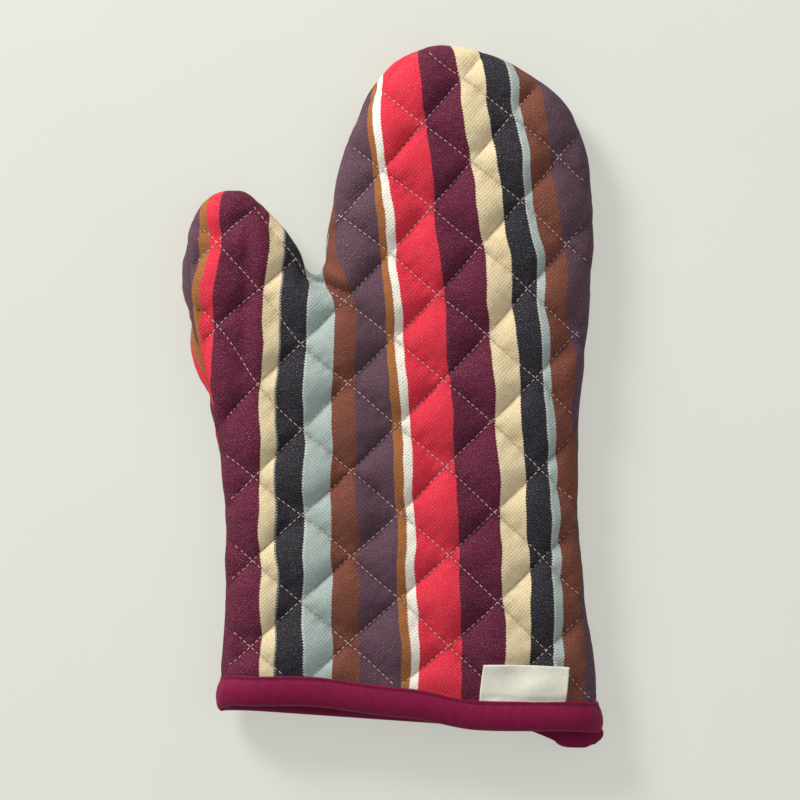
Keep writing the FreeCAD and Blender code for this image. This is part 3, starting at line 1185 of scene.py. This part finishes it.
def outer_cloth(panel, plan, change):
    """The striped cloth of one panel, with painted shade in its creases. The back panel's stripes are set
    over at the thumb.
    """
    points = on_table(quilted_surface(plan)[0] + change)
    # Painted shade along the quilting lines and the edge seam, and below the crotch on the front, carried as
    # crease_shade.
    crease_shade = np.exp(-np.minimum(*plan.gaps()) / 0.9)
    crease_shade = np.maximum(crease_shade, 0.8 * np.exp(-beside_seam(plan) / 1.0))
    across = stripe_place(plan.fabric)
    if panel == "front":
        bend, fade = crotch_line(plan)
        crease_shade = np.maximum(crease_shade, 2.0 * fade * bell(bend + 0.4, 0.9))
    else:
        across = across + 11.0 * (1 - smooth(plan.points[:, 0], -62, -22))
    fabric = np.stack([across, plan.fabric[:, 1], crease_shade], 1)
    faces = oriented(plan.faces, plan.sign)
    add_cloth(panel, "striped_cloth", "cloth", plan, points, faces, fabric, cloth_material)


def lining_cloth(panel, plan):
    """The plain cloth that lines one panel, against the hand."""
    points, _ = lining_surface(plan)
    fabric = np.concatenate([plan.fabric, np.zeros((len(points), 1))], 1)
    faces = oriented(plan.faces, -plan.sign)
    add_cloth(panel, "lining_cloth", "lining", plan, points, faces, fabric, lining_material)


def wadding_pad(panel, plan, change):
    """The wadding between cloth and lining, a closed pad whose edge is squared off."""
    depth = 0.7 + 0.2 * np.exp(-np.minimum(*plan.gaps()) / 2.5) + 0.5 * np.exp(-beside_seam(plan) / 4.0)
    outer, normal = quilted_surface(plan, depth + 0.9 * bell(crotch_distance(plan.points), 16.0))
    outer = on_table(outer + change)
    inner, _ = lining_surface(plan, 0.3)
    middle = (outer + inner) / 2
    thin = ((outer - inner) * normal).sum(1) < 0.3
    outer[thin] = middle[thin] + normal[thin] * 0.15
    inner[thin] = middle[thin] - normal[thin] * 0.15
    for side in sides:
        used, chosen = part_of(plan.points, oriented(plan.faces, plan.sign), side)
        count = len(used)
        edges = {pair: None for face in chosen for pair in zip(face, face[1:] + face[:1])}
        faces = chosen + [tuple(i + count for i in face[::-1]) for face in chosen]
        faces += [(b, a, a + count, b + count) for a, b in edges if (b, a) not in edges]
        points = np.concatenate([outer[used], inner[used]])
        piece = new_mesh(f"{panel}_wadding_pad_{side}", points, faces, pad_material)
        attach(piece, side)
        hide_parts(*nodes_of(f"{panel}_wadding", side))


def stitch_mesh(name, middles, normals, width, height, material):
    """Many stitches as one mesh. middles is stitches by points by 3: each stitch's line, in order."""
    round_points = 6
    run = np.gradient(middles, axis=1)
    run /= np.maximum(np.linalg.norm(run, axis=2), 1e-9)[..., None]
    across = np.cross(run, normals)
    across /= np.maximum(np.linalg.norm(across, axis=2), 1e-9)[..., None]
    up = np.cross(across, run)
    swell = np.sqrt(np.clip(1 - 0.86 * np.linspace(-1, 1, stitch_points) ** 4, 0, 1))
    turn = np.arange(round_points) * 2 * np.pi / round_points
    wide = np.outer(swell, np.cos(turn) * width / 2)[None, :, :, None]
    high = np.outer(swell, np.sin(turn) * height / 2)[None, :, :, None]
    ring = middles[:, :, None, :] + across[:, :, None, :] * wide + up[:, :, None, :] * high
    size = stitch_points * round_points
    one = grid_faces(stitch_points, round_points, closed=True)
    one += [tuple(reversed(range(round_points))), tuple(range(size - round_points, size))]
    faces = [tuple(k + start for k in face) for start in range(0, len(middles) * size, size) for face in one]
    return new_mesh(name, ring.reshape(-1, 3), faces, material)


def stitches_along(line, length, gap, seed):
    """Divides a dense line into stitches, each a row of points of the line."""
    draw = np.random.default_rng(seed)
    size = lengths(line[:, :2])
    at, found = draw.uniform(0, gap), []
    while at + length < size[-1]:
        own = length * draw.uniform(0.9, 1.08)
        found.append(points_at(at + np.linspace(0, own, stitch_points), size, line))
        at += own + gap * draw.uniform(0.8, 1.2)
    return found


def sew(name, x, middles, normals, size, thread, node):
    """Stitches as one mesh for each side of the mitt, by where the middle of each stitch lies."""
    for side in sides:
        chosen = on_side(x, side)
        piece = stitch_mesh(f"{name}_{side}", middles[chosen], normals[chosen], *size, thread)
        attach(piece, side)
        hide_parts(*nodes_of(node, side))


inside_outline = polygon_test(edge_points[::3])


def quilting_stitches(panel):
    """Running stitches along every quilting line of one panel."""
    length, gap, *size = quilting_stitch
    found = []
    for family, number, line in quilting_lines(panel, 1.0):
        foot, inward, distance = nearest_edge(line)
        seen = ((line - foot) * inward).sum(1) > 0
        seen &= inside_outline(line, 0) & (distance > 1.6)
        seen &= above_cuff(line) - cuff_lift(line[:, 0], panel) > binding_width + 0.6
        for run in np.split(np.arange(len(line)), np.flatnonzero(np.diff(seen.astype(int))) + 1):
            if seen[run[0]] and len(run) > 4:
                found += stitches_along(line[run], length, gap, 100 * family + number + 20)
    found = np.array(found)
    part = Samples(panel, found.reshape(-1, 2))
    place, normal = (values.reshape(len(found), stitch_points, 3) for values in quilted_surface(part, -0.1))
    dip = np.array([-0.26, 0.02, 0.07, 0.02, -0.26])[None, :, None]
    x = found[:, stitch_points // 2, 0]
    name, node = f"{panel}_quilting_stitches", f"{panel}_quilting"
    sew(name, x, place + normal * dip, normal, size, quilt_thread, node)


def seam_stitches():
    """The stitches that join the two panels, seen in the groove round the edge."""
    keep = edge_above(binding_width + 1)
    foot, inward = edge_points[keep], edge_inward[keep]
    angle = seam_angle(foot)
    distance = plan_distance(angle)
    plan = foot + inward * distance[:, None]
    height = half_height + rise(angle, distance)
    normal = section_normal(inward, angle)
    depth = seam_groove + 0.05 + crotch_tuck(foot)
    line = np.concatenate([plan, height[:, None]], 1) - normal * depth[:, None]
    length, gap, *size = seam_stitch
    found = np.array(stitches_along(np.concatenate([line, normal], 1), length, gap, 77))
    place, normal = found[..., :3], found[..., 3:]
    x = place[:, stitch_points // 2, 0]
    sew("edge_stitches", x, place, normal, size, seam_thread, "edge_seam")


# ---------------------------------------------------------------- cuff


def cuff_ring(height):
    """The smooth section at a height above the cuff edge, from the left seam round, with its normals."""
    near = np.abs(above_cuff(edge_points) - height)
    left, right = (np.argmin(np.where(edge_points[:, 0] * way > 0, near, 1e9)) for way in (-1, 1))
    angle = np.radians(np.linspace(0, 90, rim_share, endpoint=False))
    reach = plan_distance(angle)[:, None]
    start, end = (edge_points[k] + edge_inward[k] * rim_reach for k in (left, right))
    share = np.linspace(0, 1, ring_count // 2 - 2 * rim_share)[:, None]
    width = np.linalg.norm(edge_points[right] - edge_points[left])
    away = rim_reach + np.minimum(share, 1 - share) * (width - 2 * rim_reach)
    left_rim = edge_points[left] + edge_inward[left] * reach
    right_rim = edge_points[right] + edge_inward[right] * reach
    points = np.concatenate([left_rim, start + (end - start) * share, right_rim[::-1]])
    distance = np.concatenate([reach, away, reach[::-1]])[:, 0]
    angle = np.concatenate([angle, np.full(len(share), np.pi / 2), angle[::-1]])
    from_left = np.tile(edge_inward[left], (rim_share + len(share), 1))
    inward = np.concatenate([from_left, np.tile(edge_inward[right], (rim_share, 1))])
    rings, normals = [], []
    for sign, side in ((1, "front"), (-1, "back")):
        moved = points + cuff_up * (height + cuff_lift(points[:, 0], side) - above_cuff(points))[:, None]
        level = half_height + sign * rise(angle, distance)
        rings.append(np.concatenate([moved, level[:, None]], 1)[::sign])
        normals.append(section_normal(inward, angle, sign)[::sign])
    return np.concatenate(rings), np.concatenate(normals)


# Height above the cuff edge and how far out: down the outer skin, round the edge, up the inner leg and back
binding_profile = [
    (13.9, -2.3),
    (14.2, -1.6),
    (14.05, -0.85),
    (13.5, -0.5),
    (ditch_height, -0.95),
    (11.7, -0.35),
    (9.4, 0.25),
    (7.0, 0.5),
    (4.6, 0.3),
    (2.6, -0.3),
    (1.1, -1.15),
    (0.3, -2.2),
    (0.0, -3.1),
    (0.25, -3.9),
    (0.9, -4.6),
    (2.1, -5.15),
    (4.2, -5.45),
    (8.0, -5.5),
    (11.2, -5.4),
    (12.1, -5.2),
    (12.2, -4.75),
    (11.4, -4.55),
    (8.0, -4.65),
    (4.5, -4.6),
    (2.6, -4.3),
    (1.6, -3.7),
    (1.3, -3.1),
    (1.7, -2.5),
    (3.0, -1.9),
    (5.0, -1.4),
    (8.0, -1.2),
    (11.6, -1.7),
]


def cuff_binding():
    """The tape folded over the cuff's raw edge, all round, with the groove of its seam, painted shade along
    that groove, and slight puckers.
    """
    rows, fabric = [], []
    for (height, out), across in zip(binding_profile, lengths(np.array(binding_profile))):
        ring, normal = cuff_ring(height)
        around = lengths(ring)
        pucker = 0.14 * np.sin(around * 2 * np.pi / 7.3 + 1.5 * np.sin(around / 13)) * smooth(height, 3, 11)
        swell = 0.3 * np.sin(around / 17.0) * np.sin(around / 29.0 + 1)
        share = 1.0 if out > tape_middle else 0.4
        # Painted shade along the groove of the stitches on the outer leg.
        ditch_shade = bell(height - ditch_height, 0.6) if out > tape_middle / 2 else 0.0
        rows.append(ring + normal * (out + share * (pucker + swell))[:, None])
        fabric.append(np.stack([np.full(len(ring), across), around, np.full(len(ring), ditch_shade)], 1))
    points = np.concatenate(rows)
    quads = grid_faces(len(rows) + 1, ring_count, closed=True, turned=True)
    faces = [tuple(k % len(points) for k in face) for face in quads]
    piece = new_mesh("cuff_tape", points, faces, tape_material, np.concatenate(fabric))
    refine(piece)
    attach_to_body(piece, "palm")
    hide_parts("cuff_binding")


def modify(piece, kind, **values):
    """Adds a modifier to a piece and keeps the result as its mesh."""
    modifier = piece.modifiers.new("shape", kind)
    for key, value in values.items():
        setattr(modifier, key, value)
    graph = bpy.context.evaluated_depsgraph_get()
    mesh = bpy.data.meshes.new_from_object(piece.evaluated_get(graph), depsgraph=graph)
    piece.modifiers.clear()
    piece.data = mesh
    mesh.polygons.foreach_set("use_smooth", [True] * len(mesh.polygons))


def refine(piece):
    modify(piece, "SUBSURF", levels=1, render_levels=1)


def binding_stitches():
    """The row of stitches just under the tape's upper edge, on both of its legs."""
    length, gap, *thickness = tape_stitch
    found = []
    for height, out in ((ditch_height, -0.85), (11.3, -5.5)):
        ring, normal = cuff_ring(height)
        line = np.concatenate([ring + normal * out, normal * (1 if out > tape_middle else -1)], 1)
        line = np.concatenate([line, line[:1]])
        size = lengths(line[:, :3])
        for at in np.arange(0.0, size[-1] - length, length + gap):
            found.append(points_at(at + np.linspace(0, length, stitch_points), size, line))
    found = np.array(found)
    place, normal = found[..., :3], found[..., 3:]
    dip = np.array([-0.2, 0.0, 0.04, 0.0, -0.2])[None, :, None]
    piece = stitch_mesh("tape_stitches", place + normal * dip, normal, *thickness, seam_thread)
    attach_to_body(piece, "palm")
    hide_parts("binding_stitching")


def blank_label():
    """A blank woven label, caught under the tape along its lower edge."""
    columns, rows = 57, 25
    s, t = np.meshgrid(np.linspace(0, 1, columns), np.linspace(0, 1, rows))
    x = s * label_width + 0.7 * t + 0.25 * np.sin(np.pi * t) * (2 * s - 1)
    y = t * (label_height + 1.0) + 0.5 * np.sin(np.pi * s) * t + 1.7 * s
    corner = np.array([0.0, cuff_y]) + cuff_across * label_left + cuff_up * (binding_width - 1.6)
    part = Samples("front", corner + x.reshape(-1, 1) * cuff_across + y.reshape(-1, 1) * cuff_up)
    surface = quilted_surface(part)[0][:, 2].reshape(rows, columns)
    height = surface
    for _ in range(150):
        padded = np.pad(height, 1, mode="edge")
        eased = (padded[:-2, 1:-1] + padded[2:, 1:-1] + padded[1:-1, :-2] + padded[1:-1, 2:]) / 4
        height = np.maximum(eased, surface + 0.12)
    free = smooth(over_binding(part), binding_width + 0.5, binding_width + 4.0).reshape(rows, columns)
    height = surface * (1 - free) + height * free
    top_edge = 0.35 * smooth(t, 0.7, 1.0) * (0.4 + np.sin(3.0 * s + 0.5) ** 2)
    lift = 0.12 + top_edge + 0.15 * np.abs(2 * s - 1) ** 6
    top = np.concatenate([part.points, (height + lift).reshape(-1, 1)], 1)
    edge = np.minimum(np.minimum(s, 1 - s) * label_width, (1 - t) * label_height)
    # Painted shade: a dark line just inside the label's sides and top.
    crease_shade = 0.5 * bell(edge - 1.3, 0.22)
    fabric = np.stack([x.ravel(), y.ravel(), crease_shade.ravel()], 1)
    piece = new_mesh("blank_label", top, grid_faces(rows, columns), label_material, fabric)
    modify(piece, "SOLIDIFY", thickness=0.42 * MM, offset=-1.0)
    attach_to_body(piece, "palm")
    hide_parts("label")


def tape_loop():
    """The hanging loop: a doubled tape, pinched at its sewn end, with a wide rounded fold there."""
    low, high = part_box("loop_tack")
    pivot = np.array([(low[0] + high[0]) / 2, (low[1] + high[1]) / 2]) / MM
    way = unit(154)
    beside = np.array([-way[1], way[0]])
    path = loop_path()
    run = lengths(path)
    columns = 15
    s = np.linspace(-1, 1, columns)
    slope = np.gradient(path, axis=0)
    slope /= np.linalg.norm(slope, axis=1)[:, None]
    cup = 0.25 * s**2
    rows, fabric = [], []
    for (x, z), (slope_x, slope_z), at in zip(path, slope, run):
        half = 6.3 + 0.12 * math.sin(at / 3.1)
        across = s * half
        aside = across + 0.9 * math.sin(x / 16.0)
        plan = pivot + way * (x - slope_z * cup[:, None]) + beside * aside[:, None]
        rows.append(np.concatenate([plan, (half_height + z + slope_x * cup)[:, None]], 1))
        # Painted shade: a dark line just inside each edge of the tape.
        crease_shade = 0.6 * bell((1 - np.abs(s)) * half - 0.9, 0.3)
        fabric.append(np.stack([across, np.full(columns, at), crease_shade], 1))
    faces = grid_faces(len(rows), columns, turned=True)
    piece = new_mesh("tape_loop", np.concatenate(rows), faces, tape_material, np.concatenate(fabric))
    modify(piece, "SOLIDIFY", thickness=0.9 * MM, offset=0.0)
    refine(piece)
    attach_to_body(piece, "loop")
    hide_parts("hanging_loop")
    fold = loop_end(pivot)
    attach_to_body(fold, "loop")


def loop_path():
    """Section of the loop along its length: out along the top, round the far end, back along the bottom."""
    reach, radius = 33.0, 4.0
    x = np.linspace(-3.0, 26.0, 30)
    leg = np.stack([x, 0.75 + (radius - 1.0) * smooth(x, 3.0, 24.0)], 1)
    turn = np.radians(np.linspace(80, -80, 13))
    far = [reach - radius - 1.5 + (radius + 0.6) * np.cos(turn), (radius - 0.25) * np.sin(turn)]
    return np.concatenate([leg, np.stack(far, 1), leg[::-1] * (1, -1)])


def loop_end(pivot):
    """The tape's folded end, which shows below the cuff as a flat rounded tab with a turned edge."""
    centre = pivot + np.array([2.4, 0.0])
    half_width, half_depth = 12.6, 7.4
    rings, around = 9, 64
    turn = np.linspace(0, 2 * np.pi, around, endpoint=False)
    notch = 0.10 * bell(turn - 5.35, 0.16) + 0.06 * bell(turn - 5.75, 0.12)
    points, fabric = [], []
    for share in np.sin(np.linspace(0, 1, rings) * np.pi / 2):
        x = np.cos(turn) * (half_width * share * (1 + 0.03 * np.sin(3 * turn)))
        uneven = 1 - 0.10 * np.cos(turn + 0.5) + 0.03 * np.sin(5 * turn) - notch
        y = np.sin(turn) * (half_depth * share * uneven)
        plan = centre + x[:, None] * cuff_across + y[:, None] * cuff_up
        height = 1.9 * math.sqrt(max(0.0, 1 - share**3.2)) + 0.15 * np.sin(4 * turn) * share
        points.append(np.concatenate([plan, (half_height + height)[:, None]], 1))
        # The third part is painted shade in a ring just inside the turned edge.
        fabric.append(np.stack([x, y, np.full(around, 0.7 * bell(share - 0.86, 0.05))], 1))
    top = np.concatenate(points)
    bottom = top * (1, 1, -1) + np.array([0, 0, 2 * half_height - 0.2])
    count = len(top)
    faces = []
    for quad in grid_faces(rings, around, closed=True, turned=True):
        faces += [quad, tuple(k + count for k in quad[::-1])]
    for i in range(around):
        a, b = count - around + i, count - around + (i + 1) % around
        faces.append((a, a + count, b + count, b))
    points = np.concatenate([top, bottom])
    return new_mesh("tape_loop_end", points, faces, tape_material, np.concatenate(fabric + fabric))


# ---------------------------------------------------------------- stage


def floor():
    """A wide tabletop, a hair below the mitt."""
    size = 4.0
    mesh = bpy.data.meshes.new("tabletop")
    corners = [(-size, -size, 0), (size, -size, 0), (size, size, 0), (-size, size, 0)]
    mesh.from_pydata(corners, [], [(0, 1, 2, 3)])
    mesh.materials.append(floor_material())
    piece = bpy.data.objects.new("tabletop", mesh)
    piece.location.z = -0.0003
    bpy.context.scene.collection.objects.link(piece)


def area_light(name, place, size, power, colour):
    """A square light that points at the mitt."""
    light = bpy.data.lights.new(name, "AREA")
    light.size = size
    light.energy = power
    light.color = colour
    lamp = bpy.data.objects.new(name, light)
    lamp.location = place
    lamp.rotation_euler = (-Vector(place)).to_track_quat("-Z", "Y").to_euler()
    bpy.context.scene.collection.objects.link(lamp)


def studio():
    """One window-like light from the upper left, a weak one from the right, and a pale surround."""
    area_light("window", (-1.02, 1.27, 0.85), 0.6, 41.0, (1.0, 0.985, 0.95))
    area_light("fill", (1.2, 0.3, 1.3), 1.2, 3.0, (1.0, 0.97, 0.93))
    world = bpy.data.worlds.new("surround")
    world.use_nodes = True
    back = world.node_tree.nodes["Background"]
    back.inputs["Color"].default_value = (0.93, 0.97, 1.0, 1.0)
    back.inputs["Strength"].default_value = 0.44
    bpy.context.scene.world = world
    bpy.context.scene.view_settings.view_transform = "Standard"


def camera():
    """Straight above, looking down, with a long lens."""
    width, away = 0.3755, 1.6
    lens = bpy.data.cameras.new("camera")
    lens.sensor_width = 36.0
    lens.lens = 36.0 * away / width
    viewer = bpy.data.objects.new("camera", lens)
    viewer.location = (0.0026, -0.0016, away + half_height * MM)
    bpy.context.scene.collection.objects.link(viewer)
    bpy.context.scene.camera = viewer


# ---------------------------------------------------------------- making it

camera()
studio()
floor()
for panel in ("front", "back"):
    fine = Plan(panel, spacing=1.3, rings=12, along_edge=1.3)
    medium = Plan(panel, spacing=2.2, rings=9, along_edge=2.2)
    change = settled(panel, medium)
    wadding_pad(panel, medium, change)
    lining_cloth(panel, medium)
    outer_cloth(panel, fine, spread(medium, change, fine))
    quilting_stitches(panel)
seam_stitches()
cuff_binding()
binding_stitches()
blank_label()
tape_loop()
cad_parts["loop_tack"].data.materials.clear()
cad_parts["loop_tack"].data.materials.append(seam_thread)
